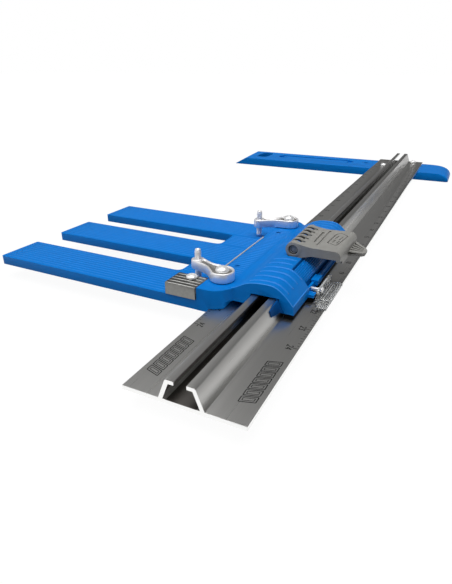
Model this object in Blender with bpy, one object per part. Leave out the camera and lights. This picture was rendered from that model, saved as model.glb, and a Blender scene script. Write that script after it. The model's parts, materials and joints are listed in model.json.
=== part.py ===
"""Rip guide for a hand-held circular saw: a flat rail with a raised track, a sled that carries the saw, and an
edge guide that follows the edge of the board. Metres, +Z up. X runs across the rail, Y along it towards the edge
guide, and Z is up from the underside of the rail. The origin is the middle of the rail's underside."""

import math

import bmesh
import bpy
from mathutils import Matrix, Vector

MM = 0.001
GAP = 0.3

# Rail, an aluminium extrusion
RAIL_LENGTH = 762.0
RAIL_WIDTH = 73.0
RAIL_BASE = 2.5
RAIL_TOP = 15.1
WALL_FOOT = 13.65
WALL_TOP = 8.8
LIP_END = 3.7
LIP_THICK = 2.3
WALL_THICK = 2.65

# Edge guide under the far end of the rail
GUIDE_FRONT = 680.0
GUIDE_BACK = 761.5
GUIDE_THICK = 12.0
GUIDE_SCREWS = ((-21.4, 700.5), (21.5, 749.5))

# Sled
FINGER_TIP = -240.5
FINGER_ROOT = -84.0
FINGER_TOP = 7.5
FINGER_EDGES = (96.5, 137.0, 166.5, 207.0, 236.5, 277.0)
STEP_X = -46.0
PLATFORM_TOP = 17.0
HUMP_FRONT = 107.0
HUMP_BACK = 267.0
WINDOW_FRONT = 142.0
WINDOW_BACK = 232.0
WINDOW_SIDE = 7.0
HUMP_ARCH = (
    (-27.0, 15.5), (-27.0, 17.05), (-24.5, 17.2), (-22.0, 17.8), (-19.6, 18.9), (-17.2, 20.3), (-14.0, 22.0),
    (-10.0, 23.4), (-5.5, 24.2), (0.0, 24.5),
    (5.5, 24.3), (9.0, 23.2), (12.0, 21.3), (15.0, 18.8), (17.6, 16.1), (19.8, 13.5), (20.9, 12.1), (21.3, 11.3),
    (22.0, 6.4),
)
FOOT_BOTTOM = 6.4
FRONT_WALL = 3.5
TONGUE = 1.2
JAW_CLEAR = 0.35

# Saw clamps
PIVOTS = ((-36.0, 117.0), (-36.0, 257.5))
STUDS = ((-62.2, 128.2), (-60.6, 243.4))
SPARE_HOLES = ((-37.6, 145.5), (-37.8, 235.5))
HUB_RADIUS = 9.0
TIP_RADIUS = 5.0
ARM_BOTTOM = PLATFORM_TOP + GAP
ARM_TOP = 24.8
STUD_BOTTOM = 9.0
STUD_TOP = 32.5

# Cam lever
LEVER_AXIS = (-0.6, 29.3)
BARREL_RADIUS = 6.1
LEVER_FRONT = 166.0
LEVER_BACK = 216.0
LEVER_RIGHT = 36.0
LEVER_TOP = 33.0
LEVER_BOTTOM = 26.2
SLOTS = (174.7, 183.1, 191.5, 199.9, 208.3)
SLOT_WIDTH = 3.2
TAB_TOP = 25.4
TAB_BOTTOM = 21.8

# Cursor over the scale
CURSOR_FRONT = 129.0
CURSOR_BACK = 178.0
EAR_X = (26.6, 28.2)
CURSOR_SCREW = (149.5, 8.4)


def clear_scene():
    for obj in list(bpy.data.objects):
        bpy.data.objects.remove(obj, do_unlink=True)


def collection():
    found = bpy.data.collections.new("rip_guide")
    bpy.context.scene.collection.children.link(found)
    return found


def material(name, color, metallic, roughness):
    made = bpy.data.materials.new(name)
    made.use_nodes = True
    shader = made.node_tree.nodes["Principled BSDF"]
    shader.inputs["Base Color"].default_value = (*color, 1.0)
    shader.inputs["Metallic"].default_value = metallic
    shader.inputs["Roughness"].default_value = roughness
    return made


def along(station):
    """Distance from the front end of the rail, as a Y coordinate."""
    return station - RAIL_LENGTH / 2


def mesh_object(name, build):
    mesh = bpy.data.meshes.new(name)
    shape = bmesh.new()
    build(shape)
    bmesh.ops.recalc_face_normals(shape, faces=shape.faces)
    shape.to_mesh(mesh)
    shape.free()
    obj = bpy.data.objects.new(name, mesh)
    PARTS.objects.link(obj)
    return obj


def rings(name, levels):
    """A closed solid through rings of points, each ring having the same number of points."""

    def build(shape):
        made = [[shape.verts.new(Vector(point) * MM) for point in level] for level in levels]
        count = len(made[0])
        shape.faces.new(list(reversed(made[0])))
        shape.faces.new(made[-1])
        for low, high in zip(made, made[1:]):
            for i in range(count):
                j = (i + 1) % count
                shape.faces.new((low[i], low[j], high[j], high[i]))

    return mesh_object(name, build)


def prism_z(name, outline, low, high):
    return rings(name, [[(x, along(y), z) for x, y in outline] for z in (low, high)])


def prism_y(name, profile, front, back):
    return rings(name, [[(x, along(y), z) for x, z in profile] for y in (front, back)])


def box(name, x, y, z):
    return prism_z(name, ((x[0], y[0]), (x[1], y[0]), (x[1], y[1]), (x[0], y[1])), z[0], z[1])


def circle(center, radius, count=24, start=0.0, sweep=360.0):
    closed = sweep >= 360.0
    steps = count if closed else count - 1
    points = []
    for i in range(count):
        turn = math.radians(start + sweep * i / steps)
        points.append((center[0] + radius * math.cos(turn), center[1] + radius * math.sin(turn)))
    return points


def cylinder_z(name, center, radius, low, high, count=24):
    return prism_z(name, circle(center, radius, count), low, high)


def cylinder_y(name, center, radius, front, back, count=24):
    return prism_y(name, circle(center, radius, count), front, back)


def turned(name, profile, place, axis="Z", count=24):
    """A solid of revolution from (radius, height) pairs, bottom to top, placed at a station point."""
    levels = []
    for radius, height in profile:
        level = []
        for i in range(count):
            turn = math.tau * i / count
            a, b = radius * math.cos(turn), radius * math.sin(turn)
            level.append((a, b, height) if axis == "Z" else (height, a, b))
        levels.append(level)
    x, y, z = place
    return rings(name, [[(p[0] + x, p[1] + along(y), p[2] + z) for p in level] for level in levels])


def combine(target, other, operation):
    """Boolean of two solids, kept in the first; the second is removed."""
    step = target.modifiers.new(operation, "BOOLEAN")
    step.operation = operation
    step.solver = "EXACT"
    step.object = other
    bpy.context.view_layer.update()
    graph = bpy.context.evaluated_depsgraph_get()
    made = bpy.data.meshes.new_from_object(target.evaluated_get(graph))
    target.modifiers.remove(step)
    target.data = made
    bpy.data.objects.remove(other, do_unlink=True)
    return target


def join(target, *others):
    for other in others:
        combine(target, other, "UNION")
    return target


def cut(target, *others):
    for other in others:
        combine(target, other, "DIFFERENCE")
    return target


def rounded(corners, radii, steps=4):
    """A polygon with its corners rounded: corners in order, one radius for each."""
    points = []
    count = len(corners)
    for i, corner in enumerate(corners):
        radius = radii[i]
        here = Vector(corner)
        if radius <= 0:
            points.append(tuple(here))
            continue
        before = (Vector(corners[i - 1]) - here).normalized()
        after = (Vector(corners[(i + 1) % count]) - here).normalized()
        half = before.angle(after) / 2
        reach = radius / math.tan(half)
        first = here + before * reach
        last = here + after * reach
        middle = here + (before + after).normalized() * radius / math.sin(half)
        a = first - middle
        b = last - middle
        turn = a.angle(b)
        for k in range(steps + 1):
            f = k / steps
            point = middle + (a * math.sin((1 - f) * turn) + b * math.sin(f * turn)) / math.sin(turn)
            points.append(tuple(point))
    return points


def set_axis(obj, x, y, z):
    """Moves the object's origin to a point on its joint axis, leaving the shape in place."""
    point = Vector((x * MM, along(y) * MM, z * MM))
    obj.data.transform(Matrix.Translation(-point))
    obj.location = point


def finish(obj, look):
    obj.data.materials.clear()
    obj.data.materials.append(look)
    return obj


def wall_face(z):
    """X of the outer face of the rail's leaning wall at a height."""
    return WALL_FOOT - (WALL_FOOT - WALL_TOP) * (z - RAIL_BASE) / (RAIL_TOP - RAIL_BASE)


def rail():
    half = RAIL_WIDTH / 2
    under = RAIL_TOP - LIP_THICK
    slope = (WALL_FOOT - WALL_TOP) / (RAIL_TOP - RAIL_BASE)
    foot = WALL_FOOT - WALL_THICK
    neck = foot - slope * (under - RAIL_BASE)
    right = [
        (half, 0.0), (half, RAIL_BASE), (WALL_FOOT, RAIL_BASE), (WALL_TOP + 0.3, RAIL_TOP - 0.6),
        (WALL_TOP - 0.4, RAIL_TOP), (LIP_END, RAIL_TOP), (LIP_END, under), (neck, under), (foot, RAIL_BASE),
    ]
    profile = right + [(-x, z) for x, z in reversed(right)]
    made = prism_y("rail", profile, 0.0, RAIL_LENGTH)
    for place in GUIDE_SCREWS:
        cut(made, cylinder_z("hole", place, 3.0, -1.0, 5.0, 20))
    return made


def edge_guide():
    levels = []
    steps = 6
    low = -GAP - GUIDE_THICK
    for k in range(steps + 1):
        turn = math.pi / 2 * k / steps
        z = low + GUIDE_THICK * math.sin(turn)
        rise = (z - low) / GUIDE_THICK
        end = 68.0 + 17.0 * math.cos(turn)
        corners = (
            (-294.0 + 22.0 * rise, GUIDE_FRONT), (end, GUIDE_FRONT),
            (end, GUIDE_BACK), (-281.5 + 1.0 * rise, GUIDE_BACK),
        )
        radii = (2.0, 4.0, 16.0, 2.0)
        levels.append([(x, along(y), z) for x, y in rounded(corners, radii, 5)])
    made = rings("edge_guide", levels)
    slot = circle((-251.0, 741.0), 11.0, 9, 0.0, 180.0) + circle((-251.0, 715.0), 11.0, 9, 180.0, 180.0)
    cut(made, prism_z("hanging_slot", slot, -20.0, 5.0))
    dish = circle((-91.0, 727.0), 12.0, 9, -90.0, 180.0) + circle((-209.0, 727.0), 12.0, 9, 90.0, 180.0)
    cut(made, prism_z("dish", dish, -GAP - 3.0, 5.0))
    cut(made, cylinder_z("index_hole", (-56.0, 730.0), 4.0, -20.0, 5.0, 16))
    for place in GUIDE_SCREWS:
        cut(made, cylinder_z("screw_hole", place, 3.0, -20.0, 5.0, 20))
        cut(made, prism_z("nut_pocket", circle(place, 5.1, 6), -20.0, -7.7))
    hollows = (((-200.0, -150.0), (690.0, 752.0)), ((-146.0, -96.0), (690.0, 752.0)),
               ((-92.0, -66.0), (690.0, 752.0)), ((36.0, 62.0), (690.0, 744.0)))
    for x, y in hollows:
        cut(made, box("hollow", x, y, (-20.0, -6.3)))
    return made


def fence_screw(name, place):
    head = ((2.7, -8.6), (2.7, 2.8), (4.6, 2.8), (4.6, 3.6), (4.1, 4.9), (3.0, 5.9), (1.6, 6.4))
    made = turned(name, head, (place[0], place[1], 0.0))
    return cut(made, prism_z("socket", circle(place, 1.5, 6), 4.6, 9.0))


def fence_nut(name, place):
    made = prism_z(name, circle(place, 4.7, 6), -12.0, -8.0)
    return cut(made, cylinder_z("thread", place, 3.0, -20.0, 0.0, 20))


def finger_comb():
    """Plan outline of the three fingers, with the gaps' inner ends rounded."""
    a, b, c, d, e, f = FINGER_EDGES
    right = STEP_X + 3.0
    corners = (
        (FINGER_TIP, a), (right, a), (right, f), (FINGER_TIP, f), (FINGER_TIP, e), (FINGER_ROOT, e),
        (FINGER_ROOT, d), (FINGER_TIP, d), (FINGER_TIP, c), (FINGER_ROOT, c), (FINGER_ROOT, b), (FINGER_TIP, b),
    )
    radii = (1.5, 0.0, 0.0, 1.5, 1.5, 5.0, 5.0, 1.5, 1.5, 5.0, 5.0, 1.5)
    return rounded(corners, radii, 4)


def platform_outline():
    front = FINGER_EDGES[0] - 0.2
    back = FINGER_EDGES[-1] + 0.2
    sweep = ((-36.0, 0.0), (-32.0, 1.1), (-28.6, 3.6), (-25.4, 7.2), (-22.4, 11.0), (-19.5, 13.6), (-12.0, 14.5))
    outline = [(STEP_X, front)] + [(x, front + y) for x, y in sweep]
    outline += [(x, back - y) for x, y in reversed(sweep)] + [(STEP_X, back)]
    return outline


def underside():
    """Section of the space that the sled leaves for the rail, the jaw and the strips."""
    left = -RAIL_WIDTH / 2 - 0.4
    return (
        (left, -6.0), (left, RAIL_BASE + 0.5), (-27.0, RAIL_BASE + 0.5), (-26.2, 7.8),
        (-wall_face(7.8) - 0.5, 7.8), (-WALL_TOP - 0.8, RAIL_TOP + 0.2), (-WALL_TOP - 0.6, 16.3),
        (14.3, 16.3), (17.8, 12.4), (19.0, 7.6), (19.0, -6.0),
    )


def front_wall():
    """Section that closes the front of the hump as far as the jaw's tongue."""
    past = JAW_CLEAR + TONGUE + 0.75
    return (
        (wall_face(FOOT_BOTTOM) + past, FOOT_BOTTOM), (20.4, FOOT_BOTTOM), (20.4, 9.0), (15.4, 17.6),
        (wall_face(RAIL_TOP) + past, 17.6), (wall_face(RAIL_TOP) + past, RAIL_TOP),
    )


def sled_body():
    made = prism_z("sled_body", finger_comb(), 0.0, FINGER_TOP)
    join(made, prism_z("platform", platform_outline(), -0.1, PLATFORM_TOP))
    hump = list(HUMP_ARCH) + [(10.0, FOOT_BOTTOM), (10.0, 3.2), (-27.0, 3.2)]
    join(made, prism_y("hump", hump, HUMP_FRONT, HUMP_BACK))
    cut(made, box("foot_level", (-60.0, -30.0), (80.0, 290.0), (-9.0, 0.0)))
    cut(made, prism_y("rail_space", underside(), 80.0, 290.0))
    join(made, prism_y("front_wall", front_wall(), HUMP_FRONT, HUMP_FRONT + FRONT_WALL))
    cut(made, box("lever_window", (WINDOW_SIDE, 60.0), (WINDOW_FRONT, WINDOW_BACK), (7.0, 60.0)))
    sill = box("sill", (19.0, 20.8), (133.0, 239.0), (5.6, 10.9))
    step = ((19.2, 8.2), (23.4, 8.2), (23.4, 12.2), (18.0, 12.2), (18.0, 11.1), (19.2, 10.4))
    ledge = prism_y("ledge", step, 156.5, 168.0)
    boss = box("boss", (19.4, 26.1), (138.0, 144.5), (6.4, 8.6))
    join(made, sill, ledge, boss)
    cut(made, cylinder_y("barrel_pocket", LEVER_AXIS, BARREL_RADIUS + 0.5, LEVER_FRONT - 1.0, LEVER_BACK + 1.0, 36))
    cut(made, box("plate_space", (0.0, WINDOW_SIDE + 0.6), (LEVER_FRONT - 1.0, LEVER_BACK + 1.0), (23.0, 40.0)))
    for center in (SLOTS[0], SLOTS[2], SLOTS[4]):
        lug = [(4.0, 20.0), (4.0, LEVER_AXIS[1])] + circle(LEVER_AXIS, 4.6, 9, 0.0, 180.0)[1:-1]
        lug += [(-5.2, LEVER_AXIS[1]), (-5.2, 20.0)]
        half = SLOT_WIDTH / 2 - GAP
        join(made, prism_y("lug", lug, center - half, center + half))
    cut(made, cylinder_y("pin_hole", LEVER_AXIS, 2.3, 160.0, 230.0, 20))
    for place in PIVOTS:
        cut(made, cylinder_z("pivot_hole", place, 3.1, -5.0, 30.0, 20))
        cut(made, prism_z("nut_pocket", circle(place, 5.0, 6), -5.0, 9.2))
    for place in SPARE_HOLES:
        cut(made, cylinder_z("spare_hole", place, 2.4, -5.0, 30.0, 16))
    screw = CURSOR_SCREW
    hole = turned("cursor_hole", ((1.8, 0.0), (1.8, 12.0)), (16.0, screw[0], screw[1]), "X", 20)
    cut(made, hole)
    cut(made, box("edge_groove", (STEP_X - 2.0, STEP_X + 1.2), (124.7, 218.3), (14.7, 20.0)))
    cut(made, box("strip_seat", (-35.8, -28.2), (127.7, 246.3), (-5.0, 4.3)))
    for side in ((-6.8, -2.9), (2.9, 6.8)):
        cut(made, box("top_strip_seat", side, (111.7, 262.3), (15.0, 17.0)))
    for low, high in zip(FINGER_EDGES[0::2], FINGER_EDGES[1::2]):
        middle = (low + high) / 2
        for y in ((low + 4.0, middle - 1.5), (middle + 1.5, high - 4.0)):
            cut(made, box("finger_hollow", (FINGER_TIP + 6.0, -92.0), y, (-5.0, 4.7)))
    cut(made, cylinder_z("block_hole", (-57.5, 110.5), 2.1, -5.0, 30.0, 16))
    cut(made, prism_z("block_nut_pocket", circle((-57.5, 110.5), 4.2, 6), -5.0, 3.6))
    return made


def wear_strip():
    """Strip set in the step's edge, standing a little proud so that the saw's shoe rubs on steel."""
    return box("wear_strip", (STEP_X - 0.2, STEP_X + 0.9), (125.0, 218.0), (15.0, PLATFORM_TOP + 0.3))


def shoe_block():
    z = (FINGER_TOP + GAP, 16.8)
    made = prism_z("shoe_block", rounded(((-71.5, 95.4), (-46.4, 95.4), (-46.4, 116.0), (-71.5, 116.0)),
                                         (1.0, 1.0, 1.0, 1.0), 3), z[0], z[1])
    return cut(made, cylinder_z("screw_hole", (-57.5, 110.5), 2.1, 0.0, 20.0, 16))


def block_screw():
    profile = ((1.8, 0.8), (1.8, 17.1), (4.3, 17.1), (4.3, 17.7), (3.7, 18.9), (2.6, 19.6), (1.2, 20.0))
    made = turned("shoe_block_screw", profile, (-57.5, 110.5, 0.0))
    return cut(made, prism_z("socket", circle((-57.5, 110.5), 1.2, 6), 18.6, 22.0))


def block_nut():
    made = prism_z("shoe_block_nut", circle((-57.5, 110.5), 3.8, 6), 0.6, 3.3)
    return cut(made, cylinder_z("thread", (-57.5, 110.5), 2.1, -5.0, 9.0, 16))


def arm_outline(hub, tip, inset=0.0):
    """Teardrop outline: a large round at the hub, a small one at the tip, and waisted sides."""
    start = Vector(hub)
    line = Vector(tip) - start
    length = line.length
    ahead = line.normalized()
    side = Vector((-ahead.y, ahead.x))
    waist = 4.0 - inset
    hub_r = HUB_RADIUS - inset
    tip_r = TIP_RADIUS - inset

    def at(u, v):
        point = start + ahead * u + side * v
        return (point.x, point.y)

    half = []
    for k in range(11):
        turn = math.radians(180.0 - 12.5 * k)
        half.append((hub_r * math.cos(turn), hub_r * math.sin(turn)))
    half += [(length * 0.36, waist + 1.0), (length * 0.48, waist), (length * 0.62, waist - 0.2)]
    for k in range(7):
        turn = math.radians(110.0 - 18.33 * k)
        half.append((length + tip_r * math.cos(turn), tip_r * math.sin(turn)))
    outline = [at(u, v) for u, v in half]
    outline += [at(u, -v) for u, v in reversed(half[1:-1])]
    return outline


def clamp_arm(name, hub, tip):
    made = prism_z(name, arm_outline(hub, tip), ARM_BOTTOM, ARM_TOP)
    recess = prism_z("recess", arm_outline(hub, tip, 1.5), ARM_TOP - 1.2, ARM_TOP + 5.0)
    cut(made, recess)
    join(made, cylinder_z("boss", tip, 4.0, ARM_BOTTOM + 0.5, ARM_TOP + 0.2, 20))
    cut(made, cylinder_z("pivot", hub, 3.2, 0.0, 40.0, 20))
    return cut(made, cylinder_z("thread", tip, 2.9, 0.0, 40.0, 20))


def pivot_bolt(name, place):
    low = ARM_TOP - 1.2 + GAP
    profile = ((2.8, 4.0), (2.8, low), (5.0, low), (5.0, low + 0.9), (4.4, low + 2.2), (3.2, low + 3.2),
               (1.6, low + 3.8))
    made = turned(name, profile, (place[0], place[1], 0.0))
    return cut(made, prism_z("socket", circle(place, 1.5, 6), low + 2.2, low + 9.0))


def pivot_nut(name, place):
    made = prism_z(name, circle(place, 4.6, 6), 4.8, 8.9)
    return cut(made, cylinder_z("thread", place, 3.1, 0.0, 20.0, 20))


def stud(name, place):
    profile = ((1.9, STUD_BOTTOM), (2.6, STUD_BOTTOM + 0.7), (2.6, STUD_TOP - 0.5), (2.2, STUD_TOP))
    made = turned(name, profile, (place[0], place[1], 0.0))
    return cut(made, prism_z("socket", circle(place, 1.4, 6), STUD_TOP - 3.0, STUD_TOP + 5.0))


def lever_plate():
    """Grip of the lever: a shell with a rounded far edge, a wall under that edge, and ribs inside."""
    x = LEVER_AXIS[0]
    corners = ((x, LEVER_BOTTOM - 2.6), (6.4, LEVER_BOTTOM - 2.3), (13.8, LEVER_BOTTOM), (32.8, LEVER_BOTTOM + 0.1),
               (33.0, LEVER_BOTTOM - 1.3), (LEVER_RIGHT, LEVER_BOTTOM - 1.3), (LEVER_RIGHT, LEVER_TOP - 0.2),
               (12.0, LEVER_TOP), (x + 2.4, LEVER_AXIS[1] + 5.5))
    radii = (0.0, 3.0, 4.0, 0.0, 0.0, 0.6, 4.2, 30.0, 0.0)
    made = prism_y("plate", rounded(corners, radii, 5), LEVER_FRONT + 0.3, LEVER_BACK + 3.6)
    skew = ((-9.0, LEVER_BACK - 0.6), (6.0, LEVER_BACK - 0.6), (37.0, LEVER_BACK + 3.6), (37.0, 230.0), (-9.0, 230.0))
    cut(made, prism_z("skew", skew, 0.0, 60.0))
    for low, high in ((LEVER_FRONT + 2.6, 190.0), (191.8, LEVER_BACK - 2.4)):
        cut(made, box("hollow", (15.4, 33.4), (low, high), (20.0, LEVER_TOP - 2.4)))
    return made


def lever_tab():
    """Thumb tab under the far edge, with four grooves that close towards its tip."""
    plan = ((34.4, 193.4), (46.6, 193.4), (48.2, 194.6), (48.6, 197.0), (48.6, 202.6), (47.4, 206.0),
            (37.0, 219.0), (34.4, 219.0))
    made = prism_z("tab", plan, TAB_BOTTOM, TAB_TOP)
    for low, high, tip in ((196.2, 198.8, 196.4), (201.0, 203.8, 198.5), (206.0, 209.2, 200.6), (211.2, 214.6, 202.8)):
        groove = ((LEVER_RIGHT + 0.5, low), (46.2, tip), (46.2, tip + 0.9), (LEVER_RIGHT + 0.5, high))
        cut(made, prism_z("groove", groove, TAB_TOP - 1.3, TAB_TOP + 5.0))
    return made


def cam_lever():
    x, z = LEVER_AXIS
    made = cylinder_y("cam_lever", LEVER_AXIS, BARREL_RADIUS, LEVER_FRONT, LEVER_BACK, 36)
    side = ((170.4, 29.0), (171.2, 25.6), (176.2, 20.8), (216.6, 20.8), (216.6, 29.0))
    foot = rings("foot", [[(a, along(b), c) for b, c in side] for a in (LEVER_RIGHT - 2.2, LEVER_RIGHT - 0.2)])
    cam = prism_y("cam", ((6.5, 26.4), (7.4, 23.6), (10.6, 23.6), (12.4, 26.6)), 180.0, 205.0)
    join(made, lever_plate(), foot, cam, lever_tab())
    for center in SLOTS:
        half = SLOT_WIDTH / 2
        cut(made, cylinder_y("slot", (x, z), BARREL_RADIUS + 0.3, center - half, center + half, 36))
        cut(made, box("slot_under", (-9.0, 5.4), (center - half, center + half), (20.0, z)))
        cut(made, box("slot_end", (x, 5.9), (center - half + 0.7, center + half - 0.7), (z - 1.0, 40.0)))
    for left, y in ((10.9, (180.4, 207.0)), (15.0, (174.6, 213.0))):
        cut(made, box("grip_groove", (left, left + 1.2), y, (LEVER_TOP - 0.9, 40.0)))
    cut(made, cylinder_y("pin_hole", LEVER_AXIS, 2.3, 160.0, 230.0, 20))
    return cut(made, cylinder_y("pin_socket", LEVER_AXIS, 4.2, 160.0, LEVER_FRONT + 2.6, 28))


def lever_pin():
    return cylinder_y("lever_pin", LEVER_AXIS, 2.0, LEVER_FRONT + 1.6, LEVER_BACK - 1.0, 20)


def brake_jaw():
    """Jaw bar along the leaning wall, a thin tongue lying on the wall ahead of the hump, and the ribbed cover that
    fills the window under the lever."""
    top = RAIL_TOP + 0.3

    def strip(bottom, high, foot=TONGUE, head=TONGUE):
        inner_low = wall_face(bottom) + JAW_CLEAR
        inner_high = wall_face(high) + JAW_CLEAR
        return ((inner_low, bottom), (inner_low + foot, bottom), (inner_high + head, high), (inner_high, high))

    back = HUMP_FRONT + FRONT_WALL + 4.0
    stations = ((93.0, strip(9.5, 13.2, 0.5, 0.5)), (99.0, strip(8.7, 14.4, 0.8, 0.8)),
                (104.0, strip(7.9, 14.8, 1.1, 1.2)), (106.6, strip(FOOT_BOTTOM + 0.3, 14.9, 2.9, 1.9)),
                (106.65, strip(FOOT_BOTTOM + 0.3, top)), (back, strip(FOOT_BOTTOM + 0.3, top)))
    made = rings("brake_jaw", [[(x, along(y), z) for x, z in points] for y, points in stations])
    low = FOOT_BOTTOM + 0.3
    bar = ((wall_face(low) + JAW_CLEAR, low), (17.9, low), (17.9, 7.6), (16.7, 12.2), (13.5, top),
           (wall_face(top) + JAW_CLEAR, top))
    cover = ((8.3, 22.3), (9.0, 21.9), (11.5, 20.3), (14.0, 18.2), (15.5, 16.5), (16.5, 14.8), (16.9, 13.2),
             (16.9, 11.5), (15.2, 11.1), (13.0, 11.2), (13.0, 13.8), (11.0, 16.6), (8.3, 18.6))
    join(made, prism_y("bar", bar, HUMP_FRONT + FRONT_WALL + 0.9, 264.0))
    return join(made, prism_y("cover", cover, WINDOW_FRONT + 1.4, WINDOW_BACK - 0.9))


def cursor():
    base = RAIL_BASE + 0.4
    plan = ((EAR_X[0], 141.0), (30.4, 131.2), (31.4, CURSOR_FRONT), (36.8, CURSOR_FRONT), (37.6, 130.4),
            (37.6, 176.6), (36.4, CURSOR_BACK), (EAR_X[0], CURSOR_BACK))
    made = prism_z("cursor", plan, base, 4.2)
    ear = ((141.0, base + 0.2), (CURSOR_BACK - 0.2, base + 0.2), (CURSOR_BACK - 0.2, 9.2), (175.6, 11.0),
           (143.4, 11.0), (141.0, 8.8))
    join(made, rings("ear", [[(x, along(y), z) for y, z in ear] for x in (EAR_X[0] + 0.1, EAR_X[1])]))
    rim = rounded(((29.6, 141.4), (36.9, 141.4), (36.9, 176.0), (29.6, 176.0)), (2.0, 2.0, 2.0, 2.0), 4)
    lens = rounded(((30.5, 142.4), (36.0, 142.4), (36.0, 175.0), (30.5, 175.0)), (1.4, 1.4, 1.4, 1.4), 4)
    frame = prism_z("rim", rim, 3.4, 4.8)
    cut(frame, prism_z("inside", lens, 3.0, 9.0))
    join(made, frame)
    y, z = CURSOR_SCREW
    slot = circle((y + 2.6, z), 1.85, 9, -90.0, 180.0) + circle((y - 2.6, z), 1.85, 9, 90.0, 180.0)
    return cut(made, rings("slot", [[(x, along(a), b) for a, b in slot] for x in (20.0, 29.2)]))


def cursor_screw():
    y, z = CURSOR_SCREW
    profile = ((1.5, 19.3), (1.5, 28.5), (2.5, 28.5), (2.5, 29.1), (1.8, 29.7))
    made = turned("cursor_screw", profile, (0.0, y, z), "X", 20)
    slot = box("driver_slot", (29.3, 32.0), (y - 0.4, y + 0.4), (z - 4.0, z + 4.0))
    return cut(made, slot)


def build():
    aluminium = material("anodised_aluminium", (0.33, 0.33, 0.32), 1.0, 0.35)
    blue = material("blue_plastic", (0.0, 0.17, 0.62), 0.0, 0.4)
    grey = material("grey_plastic", (0.36, 0.35, 0.33), 0.0, 0.55)
    cast = material("plated_casting", (0.72, 0.72, 0.74), 1.0, 0.25)
    chrome = material("bright_steel", (0.85, 0.85, 0.86), 1.0, 0.15)
    clear = material("clear_plastic", (0.9, 0.93, 0.93), 0.0, 0.08)
    black = material("slide_plastic", (0.02, 0.02, 0.022), 0.0, 0.5)
    finish(rail(), aluminium)
    finish(edge_guide(), blue)
    for side, place in zip(("left", "right"), GUIDE_SCREWS):
        finish(fence_screw("fence_screw_" + side, place), chrome)
        finish(fence_nut("fence_nut_" + side, place), chrome)
    finish(sled_body(), blue)
    finish(wear_strip(), chrome)
    finish(shoe_block(), grey)
    finish(block_screw(), chrome)
    finish(block_nut(), chrome)
    for end, hub, tip in zip(("front", "rear"), PIVOTS, STUDS):
        set_axis(finish(clamp_arm(end + "_clamp_arm", hub, tip), cast), hub[0], hub[1], ARM_BOTTOM)
        finish(pivot_bolt(end + "_pivot_bolt", hub), chrome)
        finish(pivot_nut(end + "_pivot_nut", hub), chrome)
        set_axis(finish(stud(end + "_clamp_screw", tip), chrome), tip[0], tip[1], STUD_BOTTOM)
    set_axis(finish(cam_lever(), grey), LEVER_AXIS[0], (LEVER_FRONT + LEVER_BACK) / 2, LEVER_AXIS[1])
    finish(lever_pin(), chrome)
    set_axis(finish(brake_jaw(), blue), 16.0, 187.0, 12.0)
    set_axis(finish(cursor(), clear), EAR_X[0], CURSOR_SCREW[0], CURSOR_SCREW[1])
    finish(cursor_screw(), chrome)
    finish(box("glide_foot_right", (18.9, 21.5), (108.4, 265.6), (RAIL_BASE + GAP, 5.2)), black)
    finish(box("glide_strip_left", (-35.5, -28.5), (128.0, 246.0), (RAIL_BASE + GAP, 4.0)), black)
    finish(box("glide_strip_top_left", (-6.5, -3.2), (112.0, 262.0), (RAIL_TOP + GAP, 16.7)), black)
    finish(box("glide_strip_top_right", (3.2, 6.5), (112.0, 262.0), (RAIL_TOP + GAP, 16.7)), black)


clear_scene()
PARTS = collection()
build()
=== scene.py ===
"""Looks for the saw rip guide: rail, sliding saw sled and edge guide. Lengths in mm unless a name says metres."""

import json
import math

import bmesh
import bpy
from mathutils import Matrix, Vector


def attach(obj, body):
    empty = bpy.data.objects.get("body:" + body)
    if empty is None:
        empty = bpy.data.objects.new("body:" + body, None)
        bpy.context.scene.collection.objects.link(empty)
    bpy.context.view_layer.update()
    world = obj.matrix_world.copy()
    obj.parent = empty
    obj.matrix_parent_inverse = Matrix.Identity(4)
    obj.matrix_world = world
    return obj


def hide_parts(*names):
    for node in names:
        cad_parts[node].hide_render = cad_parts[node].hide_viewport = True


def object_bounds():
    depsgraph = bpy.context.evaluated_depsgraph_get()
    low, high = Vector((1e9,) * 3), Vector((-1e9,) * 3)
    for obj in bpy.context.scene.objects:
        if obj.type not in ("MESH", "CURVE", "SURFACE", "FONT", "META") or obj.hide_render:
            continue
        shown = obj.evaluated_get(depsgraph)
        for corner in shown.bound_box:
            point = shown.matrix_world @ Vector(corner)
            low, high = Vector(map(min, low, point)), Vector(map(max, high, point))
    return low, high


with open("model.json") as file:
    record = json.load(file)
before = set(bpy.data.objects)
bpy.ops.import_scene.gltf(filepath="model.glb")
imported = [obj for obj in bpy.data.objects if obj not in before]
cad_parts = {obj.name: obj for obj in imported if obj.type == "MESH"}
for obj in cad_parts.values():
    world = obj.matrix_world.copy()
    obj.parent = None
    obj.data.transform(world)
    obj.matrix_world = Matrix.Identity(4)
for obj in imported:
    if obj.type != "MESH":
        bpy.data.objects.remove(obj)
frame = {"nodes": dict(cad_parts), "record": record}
cad_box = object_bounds()
nodes = frame["nodes"]

MM = 0.001
RAIL_LENGTH = 762.0
FLANGE_TOP = 2.5
INCH = 25.4
SCALE_ZERO = 684.8      # station of the scale's zero, from the front end
SCALE_EDGE = 35.9       # X of the ticks' outer ends
TOP_NUMBER = 24

# Lever
LEVER_AXIS = (-0.6, 29.3)
BARREL_RADIUS = 6.1
PIN_HOLE = 2.3
LEVER_FRONT = 166.0
LEVER_BACK = 216.0
LEVER_RIGHT = 36.0
LEVER_TOP = 33.0
SLOTS = (174.7, 183.1, 191.5, 199.9, 208.3)
SLOT_WIDTH = 4.2

# Clamps
PIVOTS = ((-36.0, 117.0), (-36.0, 257.5))
STUDS = ((-62.2, 128.2), (-60.6, 243.4))
ARM_BOTTOM = 17.3
ARM_TOP = 24.8


def along(station):
    """Distance from the front end of the rail as a Y coordinate, both in mm."""
    return station - RAIL_LENGTH / 2


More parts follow.
